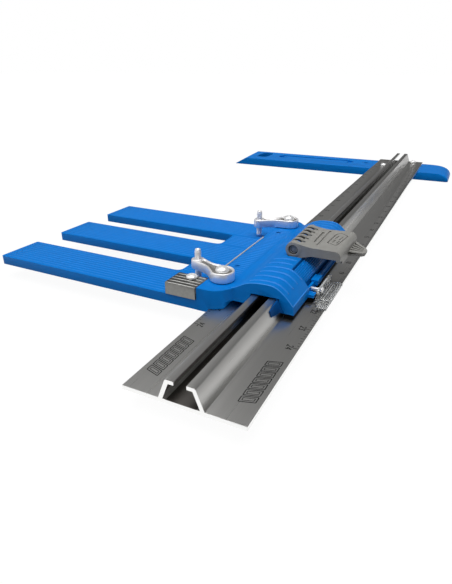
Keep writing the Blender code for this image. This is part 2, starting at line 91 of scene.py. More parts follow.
# ---------------------------------------------------------------- camera and light


def camera():
    """The photograph's viewpoint: in metres, tilted down and turned about Z in radians."""
    tilt, turn = 0.4464, 0.4629
    data = bpy.data.cameras.new("camera")
    data.lens = 28.9
    data.sensor_width = 36.0
    data.clip_start = 0.01
    made = bpy.data.objects.new("camera", data)
    bpy.context.scene.collection.objects.link(made)
    made.location = (0.10384, -0.53827, 0.15459)
    made.rotation_euler = (math.pi / 2 - tilt, 0.0, turn)
    bpy.context.scene.camera = made


def math_node(tree, operation, first, second=None):
    node = tree.nodes.new("ShaderNodeMath")
    node.operation = operation
    for socket, value in zip(node.inputs, (first, second)):
        if value is None:
            continue
        if isinstance(value, (int, float)):
            socket.default_value = value
        else:
            tree.links.new(value, socket)
    return node.outputs["Value"]


def link_range(tree, value, low, high, start=0.3, stop=0.7):
    ramp = tree.nodes.new("ShaderNodeMapRange")
    ramp.inputs["From Min"].default_value = start
    ramp.inputs["From Max"].default_value = stop
    ramp.inputs["To Min"].default_value = low
    ramp.inputs["To Max"].default_value = high
    tree.links.new(value, ramp.inputs["Value"])
    return ramp.outputs["Result"]


# Soft boxes of the studio: direction they stand in, cosine where they start and where they are full, brightness
SOFT_BOXES = (
    ((0.04, -0.15, 1.0), 0.83, 0.94, 3.9),
    ((0.62, 0.75, 0.06), 0.90, 0.98, 0.3),
    ((-0.90, -0.45, 0.60), 0.86, 0.96, 1.0),
)
DOME = 0.19             # brightness of the dome overhead
HORIZON = 0.35          # how bright it still is at the horizon, as a part of that
FLOOR_GLOW = 0.95       # the floor's own light, as the camera sees it
FLOOR_BOUNCE = 0.08     # and as it falls on the object


def studio():
    """Soft light from all round, brighter in the soft boxes, and white where the camera sees past the floor."""
    scene = bpy.context.scene
    scene.view_settings.view_transform = "Standard"
    scene.view_settings.look = "None"
    world = bpy.data.worlds.new("studio")
    scene.world = world
    world.use_nodes = True
    tree = world.node_tree
    tree.nodes.clear()
    place = tree.nodes.new("ShaderNodeTexCoord")
    height = tree.nodes.new("ShaderNodeSeparateXYZ")
    tree.links.new(place.outputs["Generated"], height.inputs["Vector"])
    total = link_range(tree, height.outputs["Z"], DOME * HORIZON, DOME, 0.04, 0.26)
    for direction, start, full, power in SOFT_BOXES:
        dot = tree.nodes.new("ShaderNodeVectorMath")
        dot.operation = "DOT_PRODUCT"
        tree.links.new(place.outputs["Generated"], dot.inputs[0])
        dot.inputs[1].default_value = Vector(direction).normalized()
        ramp = tree.nodes.new("ShaderNodeMapRange")
        ramp.interpolation_type = "SMOOTHSTEP"
        ramp.inputs["From Min"].default_value = start
        ramp.inputs["From Max"].default_value = full
        ramp.inputs["To Max"].default_value = power
        tree.links.new(dot.outputs["Value"], ramp.inputs["Value"])
        total = math_node(tree, "ADD", ramp.outputs["Result"], total)
    out = tree.nodes.new("ShaderNodeOutputWorld")
    mix = tree.nodes.new("ShaderNodeMixShader")
    path = tree.nodes.new("ShaderNodeLightPath")
    seen = tree.nodes.new("ShaderNodeBackground")
    dome = tree.nodes.new("ShaderNodeBackground")
    seen.inputs["Color"].default_value = (1.0, 1.0, 1.0, 1.0)
    seen.inputs["Strength"].default_value = 1.0
    dome.inputs["Color"].default_value = (1.0, 1.0, 1.0, 1.0)
    tree.links.new(total, dome.inputs["Strength"])
    tree.links.new(path.outputs["Is Camera Ray"], mix.inputs["Fac"])
    tree.links.new(dome.outputs["Background"], mix.inputs[1])
    tree.links.new(seen.outputs["Background"], mix.inputs[2])
    tree.links.new(mix.outputs["Shader"], out.inputs["Surface"])


def floor():
    """Pale floor just under the object, which glows enough to keep all but the deepest shadow white."""
    mesh = bpy.data.meshes.new("floor")
    low = cad_box[0].z - 0.0002
    side = 12.0
    corners = [(-side, -side, low), (side, -side, low), (side, side, low), (-side, side, low)]
    mesh.from_pydata(corners, [], [(0, 1, 2, 3)])
    made = bpy.data.objects.new("floor", mesh)
    bpy.context.scene.collection.objects.link(made)
    look = bpy.data.materials.new("floor")
    look.use_nodes = True
    shader = look.node_tree.nodes["Principled BSDF"]
    shader.inputs["Base Color"].default_value = (0.06, 0.06, 0.06, 1.0)
    shader.inputs["Roughness"].default_value = 0.9
    shader.inputs["Specular IOR Level"].default_value = 0.0
    shader.inputs["Emission Color"].default_value = (1.0, 1.0, 1.0, 1.0)
    tree = look.node_tree
    path = tree.nodes.new("ShaderNodeLightPath")
    glow = math_node(tree, "MULTIPLY_ADD", path.outputs["Is Diffuse Ray"], FLOOR_BOUNCE - FLOOR_GLOW)
    glow.node.inputs[2].default_value = FLOOR_GLOW
    tree.links.new(glow, shader.inputs["Emission Strength"])
    mesh.materials.append(look)


# ---------------------------------------------------------------- materials


def link_noise(tree, scale, stretch, detail=4.0, roughness=0.55):
    """Noise in the object's own coordinates; scale is in cycles a metre, stretch widens it along each axis."""
    place = tree.nodes.new("ShaderNodeTexCoord")
    fit = tree.nodes.new("ShaderNodeMapping")
    fit.inputs["Scale"].default_value = [1.0 / s for s in stretch]
    noise = tree.nodes.new("ShaderNodeTexNoise")
    noise.inputs["Scale"].default_value = scale
    noise.inputs["Detail"].default_value = detail
    noise.inputs["Roughness"].default_value = roughness
    tree.links.new(place.outputs["Object"], fit.inputs["Vector"])
    tree.links.new(fit.outputs["Vector"], noise.inputs["Vector"])
    return noise.outputs["Fac"]


def own_place(tree):
    """X, Y and Z in the object's own coordinates, in metres."""
    place = tree.nodes.new("ShaderNodeTexCoord")
    spot = tree.nodes.new("ShaderNodeSeparateXYZ")
    tree.links.new(place.outputs["Object"], spot.inputs["Vector"])
    return spot.outputs


def link_mix(tree, factor, first, second):
    mix = tree.nodes.new("ShaderNodeMix")
    mix.data_type = "RGBA"
    tree.links.new(factor, mix.inputs["Factor"])
    for socket, value in ((mix.inputs[6], first), (mix.inputs[7], second)):
        if isinstance(value, tuple):
            socket.default_value = (*value, 1.0)
        else:
            tree.links.new(value, socket)
    return mix.outputs[2]


# Painted shade inside the rail's track
TRACK_PAINTED_SHADE = (0.16, 0.15, 0.14)    # inside of the rail's track


def surface(name, dark, light, rough, metallic, grain, fine=None, specular=0.5, ends=None, tip=None, core=None):
    """A finish whose colour and roughness drift between two values, with a coarse grain and a fine bump.

    grain and fine are (cycles a metre, stretch, bump depth in metres); ends is the colour of the rail's sawn ends,
    and of its long side faces as a painted highlight, and with it the inside of the track gets painted shade;
    tip is (Y in metres, colour) of painted shade on the part nearer than that Y; core is (X, Z, radius, Y,
    colour) of painted shade within that radius of an axis along Y, behind that Y."""
    made = bpy.data.materials.new(name)
    made.use_nodes = True
    tree = made.node_tree
    shader = tree.nodes["Principled BSDF"]
    shader.inputs["Metallic"].default_value = metallic
    shader.inputs["Specular IOR Level"].default_value = specular
    scale, stretch, depth = grain
    drift = link_noise(tree, scale, stretch)
    color = link_mix(tree, link_range(tree, drift, 0.0, 1.0), dark, light)
    # painted shade on the part nearer than the given Y
    if tip:
        near, tip_painted_shade = tip
        color = link_mix(tree, link_range(tree, own_place(tree)["Y"], 1.0, 0.0, near - 0.0002, near), color, tip_painted_shade)
    # painted shade within the given radius of an axis along Y, behind the given Y
    if core:
        axis_x, axis_z, radius, front, core_painted_shade = core
        spot = own_place(tree)
        squares = []
        for axis, middle in (("X", axis_x), ("Z", axis_z)):
            apart = math_node(tree, "ABSOLUTE", math_node(tree, "SUBTRACT", spot[axis], middle))
            squares.append(math_node(tree, "POWER", apart, 2.0))
        away = math_node(tree, "SQRT", math_node(tree, "ADD", *squares))
        deep = link_range(tree, away, 1.0, 0.0, radius - 0.0004, radius)
        behind = link_range(tree, spot["Y"], 0.0, 1.0, front, front + 0.0004)
        color = link_mix(tree, math_node(tree, "MULTIPLY", deep, behind), color, core_painted_shade)
    if ends:
        shape = tree.nodes.new("ShaderNodeNewGeometry")
        split = tree.nodes.new("ShaderNodeSeparateXYZ")
        tree.links.new(shape.outputs["Normal"], split.inputs["Vector"])
        spot = own_place(tree)
        # painted shade: the inside of the track, between the uprights and under the lips, is coloured dark
        across = math_node(tree, "ABSOLUTE", spot["X"])
        low = math_node(tree, "MULTIPLY", link_range(tree, spot["Z"], 0.0, 1.0, 0.0022, 0.0024),
                        link_range(tree, spot["Z"], 1.0, 0.0, 0.0119, 0.0123))
        painted_track_shade = math_node(tree, "MULTIPLY", link_range(tree, across, 1.0, 0.0, 0.0088, 0.0092), low)
        color = link_mix(tree, painted_track_shade, color, TRACK_PAINTED_SHADE)
        sawn = link_range(tree, math_node(tree, "ABSOLUTE", split.outputs["Y"]), 0.0, 1.0, 0.6, 0.9)
        # painted highlight: faces that look along X, the rail's long sides, take the sawn ends' light colour
        edge = link_range(tree, math_node(tree, "ABSOLUTE", split.outputs["X"]), 0.0, 1.0, 0.955, 0.985)
        color = link_mix(tree, math_node(tree, "MAXIMUM", sawn, edge), color, ends)
    tree.links.new(color, shader.inputs["Base Color"])
    tree.links.new(link_range(tree, drift, rough[0], rough[1]), shader.inputs["Roughness"])
    bump = tree.nodes.new("ShaderNodeBump")
    bump.inputs["Strength"].default_value = 1.0
    bump.inputs["Distance"].default_value = depth
    tree.links.new(drift, bump.inputs["Height"])
    last = bump
    if fine:
        speckle = link_noise(tree, fine[0], fine[1], 2.0)
        second = tree.nodes.new("ShaderNodeBump")
        second.inputs["Strength"].default_value = 1.0
        second.inputs["Distance"].default_value = fine[2]
        tree.links.new(speckle, second.inputs["Height"])
        tree.links.new(bump.outputs["Normal"], second.inputs["Normal"])
        last = second
    tree.links.new(last.outputs["Normal"], shader.inputs["Normal"])
    return made


EVEN = (1.0, 1.0, 1.0)
ALONG_RAIL = (1.0, 220.0, 1.0)
LOOKS = {
    # ends: the sawn ends' own light colour, which also paints a highlight on the long sides and switches on the
    # painted shade in the track
    "anodised_aluminium": surface("anodised_aluminium", (0.565, 0.56, 0.545), (0.59, 0.585, 0.57), (0.27, 0.30), 1.0,
                                  (600.0, ALONG_RAIL, 0.0000001), (3500.0, EVEN, 0.0000003), ends=(0.93, 0.93, 0.92)),
    "blue_plastic": surface("blue_plastic", (0.0, 0.165, 0.575), (0.0, 0.183, 0.62), (0.34, 0.44), 0.0,
                            (160.0, EVEN, 0.00001), (2600.0, EVEN, 0.000006), 0.10),
    "grey_plastic": surface("grey_plastic", (0.26, 0.256, 0.24), (0.30, 0.296, 0.28), (0.44, 0.56), 0.0,
                            (220.0, EVEN, 0.00001), (2600.0, EVEN, 0.000008), 0.35,
                            # painted shade inside the barrel: its recess, bore and slot walls
                            core=(LEVER_AXIS[0] * MM, LEVER_AXIS[1] * MM, 0.0056, along(LEVER_FRONT + 1.2) * MM,
                                  (0.035, 0.034, 0.032))),
    "plated_casting": surface("plated_casting", (0.90, 0.89, 0.90), (0.96, 0.95, 0.96), (0.36, 0.44), 0.6,
                              (300.0, EVEN, 0.000008), (3000.0, EVEN, 0.000002)),
    "bright_steel": surface("bright_steel", (0.93, 0.93, 0.93), (0.98, 0.98, 0.98), (0.30, 0.40), 0.55,
                            (500.0, EVEN, 0.000003)),
    # Near black: on the pad under the bridge this also serves as painted shade
    "slide_plastic": surface("slide_plastic", (0.003, 0.003, 0.003), (0.005, 0.005, 0.006), (0.5, 0.6), 0.0,
                             (300.0, EVEN, 0.000008), None, 0.05),
}


def clear_look():
    """Clear plastic with a faint haze."""
    made = bpy.data.materials.new("clear_plastic")
    made.use_nodes = True
    tree = made.node_tree
    shader = tree.nodes["Principled BSDF"]
    shader.inputs["Base Color"].default_value = (0.97, 0.98, 0.98, 1.0)
    shader.inputs["Transmission Weight"].default_value = 0.93
    shader.inputs["IOR"].default_value = 1.47
    haze = link_noise(tree, 400.0, EVEN)
    tree.links.new(link_range(tree, haze, 0.02, 0.07), shader.inputs["Roughness"])
    bump = tree.nodes.new("ShaderNodeBump")
    bump.inputs["Distance"].default_value = 0.000004
    tree.links.new(haze, bump.inputs["Height"])
    tree.links.new(bump.outputs["Normal"], shader.inputs["Normal"])
    return made


LOOKS["clear_plastic"] = clear_look()
PRINT = surface("printed_marks", (0.006, 0.006, 0.006), (0.012, 0.012, 0.011), (0.5, 0.6), 0.0,
                (800.0, EVEN, 0.000001), None, 0.15)
RECESS = surface("cast_recess", (0.40, 0.39, 0.37), (0.50, 0.485, 0.46), (0.36, 0.48), 1.0,
                 (500.0, EVEN, 0.00001), (3200.0, EVEN, 0.000005))
BLOCK = surface("milled_block", (0.19, 0.19, 0.182), (0.235, 0.235, 0.222), (0.30, 0.40), 1.0,
                (400.0, EVEN, 0.000004), (3000.0, EVEN, 0.000003))
# Lighter blue than the plastic: painted highlight on the ribs over the bridge and the fine lines across the fingers
# and platform
RIB_PAINTED_HIGHLIGHT = surface("rib_painted_highlight", (0.010, 0.20, 0.65), (0.018, 0.22, 0.70), (0.34, 0.42), 0.0,
              (300.0, EVEN, 0.000004), None, 0.3)
# Lighter blue again: painted highlight on the beads round the bridge's rims and along the top of its skirt
RIM_PAINTED_HIGHLIGHT = surface("rim_painted_highlight", (0.02, 0.235, 0.70), (0.035, 0.255, 0.74), (0.34, 0.42), 0.0,
              (300.0, EVEN, 0.000004), None, 0.3)
# Light metal of the wear strip; on the shoe block's ridges the same light colour is a painted highlight
LIGHT_METAL_AND_HIGHLIGHT = surface("light_metal_and_painted_highlight", (0.62, 0.62, 0.60), (0.72, 0.72, 0.70), (0.35, 0.45), 0.5, (400.0, EVEN, 0.000004))
PIN = surface("dark_pin", (0.27, 0.265, 0.25), (0.31, 0.305, 0.29), (0.5, 0.6), 0.0, (400.0, EVEN, 0.000004))
# Opaque light grey: painted highlights along the clear cursor's edges
CURSOR_PAINTED_GLINT = surface("cursor_painted_glint", (0.50, 0.51, 0.51), (0.66, 0.67, 0.67), (0.15, 0.25), 0.0,
                     (400.0, EVEN, 0.000003), None, 0.6)
# Darker copy of the blue plastic: painted shade on the jaw under the lever, darker still on its tongue in front of the
# bridge
JAW_PAINTED_SHADE = surface("jaw_plastic_painted_shade", (0.0, 0.125, 0.44), (0.0, 0.145, 0.50), (0.34, 0.44), 0.0,
              (160.0, EVEN, 0.00001), (2600.0, EVEN, 0.000006), 0.10, tip=(-0.2735, (0.002, 0.062, 0.23)))


# ---------------------------------------------------------------- mesh helpers


def mesh_piece(name, build):
    """A new object from a function that fills a bmesh."""
    mesh = bpy.data.meshes.new(name)
    shape = bmesh.new()
    build(shape)
    bmesh.ops.recalc_face_normals(shape, faces=shape.faces)
    shape.to_mesh(mesh)
    shape.free()
    made = bpy.data.objects.new(name, mesh)
    bpy.context.scene.collection.objects.link(made)
    return made


def add_loft(shape, levels):
    """A closed skin over rings of (x, station, z) points, all of one length."""
    rows = [[shape.verts.new((x * MM, along(y) * MM, z * MM)) for x, y, z in level] for level in levels]
    count = len(rows[0])
    shape.faces.new(list(reversed(rows[0])))
    shape.faces.new(rows[-1])
    for low, high in zip(rows, rows[1:]):
        for i in range(count):
            j = (i + 1) % count
            shape.faces.new((low[i], low[j], high[j], high[i]))


def loft(name, levels):
    return mesh_piece(name, lambda shape: add_loft(shape, levels))


def lofts(name, many):
    def build(shape):
        for levels in many:
            add_loft(shape, levels)

    return mesh_piece(name, build)


def prism_y(name, profile, front, back):
    """An (x, z) profile drawn along the rail between two stations."""
    return loft(name, [[(x, y, z) for x, z in profile] for y in (front, back)])


def prism_z(name, outline, low, high):
    """An (x, station) outline drawn upwards."""
    return loft(name, [[(x, y, z) for x, y in outline] for z in (low, high)])


def block(name, x, y, z):
    return prism_z(name, ((x[0], y[0]), (x[1], y[0]), (x[1], y[1]), (x[0], y[1])), z[0], z[1])


def circle(center, radius, count=48, start=0.0, sweep=360.0):
    steps = count if sweep >= 360.0 else count - 1
    turns = [math.radians(start + sweep * i / steps) for i in range(count)]
    return [(center[0] + radius * math.cos(t), center[1] + radius * math.sin(t)) for t in turns]


def lathe(name, profile, place, axis="Z", count=48):
    """A turned solid from (radius, height) pairs, first to last along the axis, which is Z or Y."""
    x, y, z = place
    levels = []
    for radius, height in profile:
        ring = circle((0.0, 0.0), radius, count)
        if axis == "Y":
            levels.append([(a + x, height + y, b + z) for a, b in ring])
        else:
            levels.append([(a + x, b + y, height + z) for a, b in ring])
    return loft(name, levels)


def combine(target, other, operation):
    """Adds or cuts the other object, which goes."""
    step = target.modifiers.new(operation, "BOOLEAN")
    step.operation = operation
    step.solver = "EXACT"
    step.object = other
    bpy.context.view_layer.update()
    graph = bpy.context.evaluated_depsgraph_get()
    made = bpy.data.meshes.new_from_object(target.evaluated_get(graph))
    target.modifiers.remove(step)
    target.data = made
    bpy.data.objects.remove(other, do_unlink=True)
    return target


def join(target, *others):
    for other in others:
        combine(target, other, "UNION")
    return target


def cut(target, *others):
    for other in others:
        combine(target, other, "DIFFERENCE")
    return target


def rounded(corners, radii, steps=6):
    """A polygon with its corners rounded: corners in order, one radius for each."""
    points = []
    for i, corner in enumerate(corners):
        here = Vector(corner)
        if radii[i] <= 0:
            points.append(tuple(here))
            continue
        before = (Vector(corners[i - 1]) - here).normalized()
        after = (Vector(corners[(i + 1) % len(corners)]) - here).normalized()
        half = before.angle(after) / 2
        reach = radii[i] / math.tan(half)
        middle = here + (before + after).normalized() * radii[i] / math.sin(half)
        a = here + before * reach - middle
        b = here + after * reach - middle
        turn = a.angle(b)
        for k in range(steps + 1):
            f = k / steps
            points.append(tuple(middle + (a * math.sin((1 - f) * turn) + b * math.sin(f * turn)) / math.sin(turn)))
    return points


def smooth_closed(points, steps):
    """Catmull-Rom curve through a closed ring of 2-D points."""
    out = []
    count = len(points)
    for i in range(count):
        a, b, c, d = (Vector(points[(i + k) % count]) for k in (-1, 0, 1, 2))
        for k in range(steps):
            t = k / steps
            out.append(tuple(0.5 * ((2 * b) + (c - a) * t + (2 * a - 5 * b + 4 * c - d) * t * t
                                    + (3 * b - a - 3 * c + d) * t * t * t)))
    return out


def soften(obj, width, segments=2, angle=30.0, flatten=True):
    """Joins faces, then rounds the edges that are sharper than the angle."""
    if flatten:
        weld = obj.modifiers.new("weld", "WELD")
        weld.merge_threshold = 0.000002
        flat = obj.modifiers.new("flat", "DECIMATE")
        flat.decimate_type = "DISSOLVE"
        flat.angle_limit = math.radians(0.6)
    if width:
        edge = obj.modifiers.new("edge", "BEVEL")
        edge.width = width * MM
        edge.segments = segments
        edge.limit_method = "ANGLE"
        edge.angle_limit = math.radians(angle)
        edge.harden_normals = True
        edge.use_clamp_overlap = True
    obj.data.shade_smooth()
    return obj


def finish_with(obj, look):
    obj.data.materials.clear()
    obj.data.materials.append(look)
    return obj


def piece(obj, body, slot, look=None, replaces=()):
    """Dresses a new piece: gives it its finish, hangs it on the empty of the body it rides on, and hides the CAD nodes
    it stands for.
    """
    finish_with(obj, look or LOOKS[slot])
    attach(obj, body)
    if replaces:
        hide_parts(*replaces)
    return obj


# Section of a ridge, in parts of its width and height
RIDGE_SECTION = ((-0.5, -0.35), (-0.5, 0.0), (-0.3, 0.65), (0.0, 1.0), (0.3, 0.65), (0.5, 0.0), (0.5, -0.35))


def ridge(path, up, width, height):
    """Levels of a low rounded ridge along a path; up gives the surface normal at each point, and the ends fade."""
    levels = []
    last = len(path) - 1
    for i, point in enumerate(path):
        here = Vector(point)
        ahead = (Vector(path[min(i + 1, last)]) - Vector(path[max(i - 1, 0)])).normalized()
        normal = Vector(up[i]).normalized()
        side = ahead.cross(normal).normalized()
        fade = min(1.0, 0.08 + 4.0 * min(i, last - i) / last)
        ring = []
        for across, high in RIDGE_SECTION:
            ring.append(tuple(here + side * across * width + normal * high * height * fade))
        levels.append(ring)
    return levels


# ---------------------------------------------------------------- rail


def plain_quads(name, quads):
    """Thin plates of print, each from four (x, station) corners, lying on the flange."""
    return lofts(name, [[[(x, y, z) for x, y in quad] for z in (FLANGE_TOP - 0.05, FLANGE_TOP + 0.02)]
                        for quad in quads])


def stroke(a, b, width):
    """Four corners of a straight line of the given width."""
    start, stop = Vector(a), Vector(b)
    side = (stop - start).normalized()
    side = Vector((-side.y, side.x)) * width / 2
    return [tuple(start + side), tuple(start - side), tuple(stop - side), tuple(stop + side)]


def scale_ticks():
    """Ticks every eighth of an inch on both flanges, longest at the inches and halves."""
    quads = []
    eighth = INCH / 8
    last_station = 75.0
    for side in (-1.0, 1.0):
        for k in range(int((SCALE_ZERO - last_station) / eighth) + 1):
            y = SCALE_ZERO - k * eighth
            reach = {0: 3.3, 4: 2.6}.get(k % 8, 2.0 if k % 2 == 0 else 1.5)
            quads.append(stroke((side * (SCALE_EDGE - reach), y), (side * SCALE_EDGE, y), 0.34))
    return plain_quads("scale_ticks", quads)


# Numerals as strokes on a grid one wide and two high
NUMERALS = {
    "0": ((0, 0), (1, 0), (1, 2), (0, 2), (0, 0)),
    "1": ((0.2, 1.6), (0.6, 2), (0.6, 0)),
    "2": ((0, 1.7), (0.3, 2), (0.8, 2), (1, 1.6), (0.9, 1.1), (0, 0), (1, 0)),
    "3": ((0, 2), (1, 2), (0.45, 1.2), (1, 0.8), (0.9, 0.2), (0.4, 0), (0, 0.3)),
    "4": ((0.8, 0), (0.8, 2), (0, 0.6), (1.05, 0.6)),
    "5": ((1, 2), (0.1, 2), (0, 1.1), (0.7, 1.2), (1, 0.8), (0.9, 0.2), (0.4, 0), (0, 0.25)),
    "6": ((0.9, 2), (0.3, 1.4), (0, 0.6), (0.3, 0), (0.8, 0), (1, 0.5), (0.7, 1.1), (0.1, 0.9)),
    "7": ((0, 2), (1, 2), (0.4, 0)),
    "8": ((0.5, 1.1), (0.05, 1.5), (0.3, 2), (0.8, 2), (0.95, 1.5), (0.5, 1.1), (0, 0.6), (0.2, 0), (0.8, 0),
          (1, 0.6), (0.5, 1.1)),
    "9": ((0.1, 0), (0.7, 0.6), (1, 1.4), (0.7, 2), (0.2, 2), (0, 1.5), (0.3, 0.9), (0.9, 1.1)),
}


def scale_numerals():
    """The number of each inch, read from either side of the rail."""
    quads = []
    size, gap, tall = 2.0, 0.45, 0.95
    foot = 28.6
    for side in (-1.0, 1.0):
        for number in range(TOP_NUMBER + 1):
            text = str(number)
            middle = SCALE_ZERO - number * INCH
            wide = len(text) * size + (len(text) - 1) * gap * size
            for place, sign in enumerate(text):
                start = -wide / 2 + place * (1.0 + gap) * size
                points = [(side * (foot + v * size * tall), middle - side * (start + u * size))
                          for u, v in NUMERALS[sign]]
                quads += [stroke(a, b, 0.6) for a, b in zip(points, points[1:])]
    return plain_quads("scale_numerals", quads)


def outline_strokes(corners, width):
    return [stroke(a, b, width) for a, b in zip(corners, list(corners[1:]) + [corners[0]])]


def flange_pattern():
    """A plain printed band on each flange: a row of equal slanted blocks, drawn as outlines."""
    quads = []
    inner, outer = 24.4, 33.0
    start, pitch, length, lean = 15.4, 5.9, 4.7, 2.6
    for side in (-1.0, 1.0):
        for k in range(7):
            y = start + k * pitch
            for inset, wide in ((0.0, 0.55), (1.3, 0.4)):
                low, high = inner + inset, outer - inset
                near, far = y + inset, y + length - inset
                slope = lean * inset / (outer - inner)
                shape = ((side * low, near + slope), (side * low, far + slope),
                         (side * high, far + lean - slope), (side * high, near + lean - slope))
                quads += outline_strokes(shape, wide)
    return plain_quads("flange_pattern", quads)


# ---------------------------------------------------------------- sled

FINGER_TOP = 7.5
PLATFORM_TOP = 17.0
# Top of the bridge as (x, z), from the platform over the rail to the skirt
HUMP_ARCH = (
    (-24.5, 17.2), (-22.0, 17.8), (-19.6, 18.9), (-17.2, 20.3), (-14.0, 22.0),
    (-10.0, 23.4), (-5.5, 24.2), (0.0, 24.5),
    (5.5, 24.3), (9.0, 23.2), (12.0, 21.3), (15.0, 18.8), (17.6, 16.1), (19.8, 13.5), (20.9, 12.1),
)


def arch_path(low, high, station, steps):
    """Points on the bridge's arch between two X, with the normals there."""
    path, up = [], []
    for k in range(steps + 1):
        x = low + (high - low) * k / steps
        for (xa, za), (xb, zb) in zip(HUMP_ARCH, HUMP_ARCH[1:]):
            if xa <= x <= xb:
                f = (x - xa) / (xb - xa)
                path.append((x, station, za + (zb - za) * f))
                up.append((-(zb - za), 0.0, xb - xa))
                break
    return path, up


def hump_ribs():
    """Ribs over the bridge: bold in front, short beside the cover, faint at the back."""
    many = []
    for stations, low, high, steps, width, height in (
            ((113.5, 122.5, 131.5, 140.5), -13.0, 15.6, 28, 1.9, 0.6),
            ((149.5, 158.5), -13.0, 5.6, 20, 1.9, 0.6),
            ((236.5, 244.5, 252.5, 260.0), -12.0, 14.0, 28, 1.3, 0.30)):
        for station in stations:
            path, up = arch_path(low, high, station, steps)
            many.append(ridge(path, up, width, height))
    return lofts("hump_ribs", many)


def hump_edges():
    """Fine bead round the bridge's front and rear rims and along the top of its skirt."""
    many = []
    for station in (107.6, 266.4):
        path, up = arch_path(-24.4, 20.8, station, 40)
        many.append(ridge(path, up, 1.1, 0.4))
    for front, back in ((107.6, 141.4), (232.6, 266.4)):
        path = [(20.95, front + (back - front) * k / 12, 12.1) for k in range(13)]
        many.append(ridge(path, [(1.0, 0.0, 0.85)] * 13, 1.0, 0.35))
    return lofts("hump_edges", many)


def block_ribs():
    """Low ribs across the top of the shoe block."""
    many = []
    for y in (96.6, 100.6, 104.8, 109.0, 113.4):
        path = [(-70.9 + 23.8 * k / 10, y, 16.8) for k in range(11)]
        many.append(ridge(path, [(0, 0, 1)] * 11, 0.7, 0.35))
    return cut(lofts("block_ribs", many), lathe("seat", ((4.6, 10.0), (4.6, 20.0)), (-57.5, 110.5, 0.0)))


def top_lines():
    """Fine moulded lines that run across the fingers and the platform."""
    many = []
    edges = (96.5, 137.0, 166.5, 207.0, 236.5, 277.0)   # the three fingers' sides
    y, pitch = 100.2, 3.7
    while y < 275.0:
        finger = any(low + 2.0 < y < high - 2.0 for low, high in zip(edges[0::2], edges[1::2]))
        near = any(abs(y - e) < 2.0 for e in edges)
        if not near:
            left = -238.3 if finger else -82.6
            path = [(left + (-47.2 - left) * k / 12, y, FINGER_TOP) for k in range(13)]
            many.append(ridge(path, [(0, 0, 1)] * 13, 1.0, 0.22))
        if 128.0 < y < 247.0:
            path = [(-44.0 + 15.5 * k / 8, y, PLATFORM_TOP) for k in range(9)]
            many.append(ridge(path, [(0, 0, 1)] * 9, 0.9, 0.2))
        y += pitch
    return lofts("top_lines", many)


def cover_ribs():
    """Grip ribs along the cover in the window under the lever."""
    profile = ((8.6, 22.1), (9.0, 21.9), (11.5, 20.3), (14.0, 18.2), (15.5, 16.5), (16.5, 14.8), (16.9, 13.2))
    many = []
    gone = 0.0
    pitch = 1.55
    for (xa, za), (xb, zb) in zip(profile, profile[1:]):
        length = math.hypot(xb - xa, zb - za)
        while gone < length:
            f = gone / length
            x, z = xa + (xb - xa) * f, za + (zb - za) * f
            path = [(x, 144.0 + 86.4 * k / 10, z) for k in range(11)]
            many.append(ridge(path, [(-(zb - za), 0.0, xb - xa)] * 11, 0.8, 0.3))
            gone += pitch
        gone -= length
    return lofts("cover_ribs", many)


def guide_bar():
    """Raised bar along the middle of the edge guide's dish."""
    def pill(inset):
        return (circle((-95.0, 727.0), 7.5 - inset, 13, -90.0, 180.0)
                + circle((-205.0, 727.0), 7.5 - inset, 13, 90.0, 180.0))

    levels = [(0.0, -3.4), (0.0, -1.6), (0.5, -1.0), (1.3, -0.7)]
    return loft("guide_bar", [[(x, y, z) for x, y in pill(inset)] for inset, z in levels])


# ---------------------------------------------------------------- clamps


def arm_ring(hub, tip, inset):
    """Outline of a clamp arm: a large round at the hub, a small one at the tip, and waisted sides."""
    start = Vector(hub)
    line = Vector(tip) - start
    length = line.length
    ahead = line.normalized()
    side = Vector((-ahead.y, ahead.x))
    waist = 4.0 - inset
    half = [((9.0 - inset) * math.cos(math.radians(180.0 - 12.5 * k)),
             (9.0 - inset) * math.sin(math.radians(180.0 - 12.5 * k))) for k in range(11)]
    half += [(length * 0.36, waist + 1.0), (length * 0.48, waist), (length * 0.62, waist - 0.2)]
    half += [(length + (5.0 - inset) * math.cos(math.radians(110.0 - 18.33 * k)),
              (5.0 - inset) * math.sin(math.radians(110.0 - 18.33 * k))) for k in range(7)]
    ring = half + [(u, -v) for u, v in reversed(half[1:-1])]
    return [tuple(start + ahead * u + side * v) for u, v in smooth_closed(ring, 3)]


def clamp_arm(name, hub, tip, body, node):
    walls = ((0.9, ARM_BOTTOM + 0.1), (0.3, ARM_BOTTOM + 0.25), (0.0, ARM_BOTTOM + 0.7), (0.0, ARM_TOP - 1.1),
             (0.1, ARM_TOP - 0.55), (0.4, ARM_TOP - 0.15), (0.8, ARM_TOP), (1.1, ARM_TOP - 0.05), (1.4, ARM_TOP - 0.3),
             (1.55, ARM_TOP - 0.7), (1.7, ARM_TOP - 1.1))
    made = loft(name, [[(x, y, z) for x, y in arm_ring(hub, tip, inset)] for inset, z in walls])
    boss = ((4.2, ARM_BOTTOM + 1.0), (4.2, ARM_TOP - 0.3), (3.9, ARM_TOP + 0.1), (3.3, ARM_TOP + 0.2))
    join(made, lathe("boss", boss, (tip[0], tip[1], 0.0)))
    cut(made, lathe("thread", ((2.85, 0.0), (2.85, 40.0)), (tip[0], tip[1], 0.0), count=32))
    cut(made, lathe("pivot", ((3.2, 0.0), (3.2, 40.0)), (hub[0], hub[1], 0.0), count=32))
    soften(made, 0.0)
    return piece(made, body, "plated_casting", replaces=(node,))


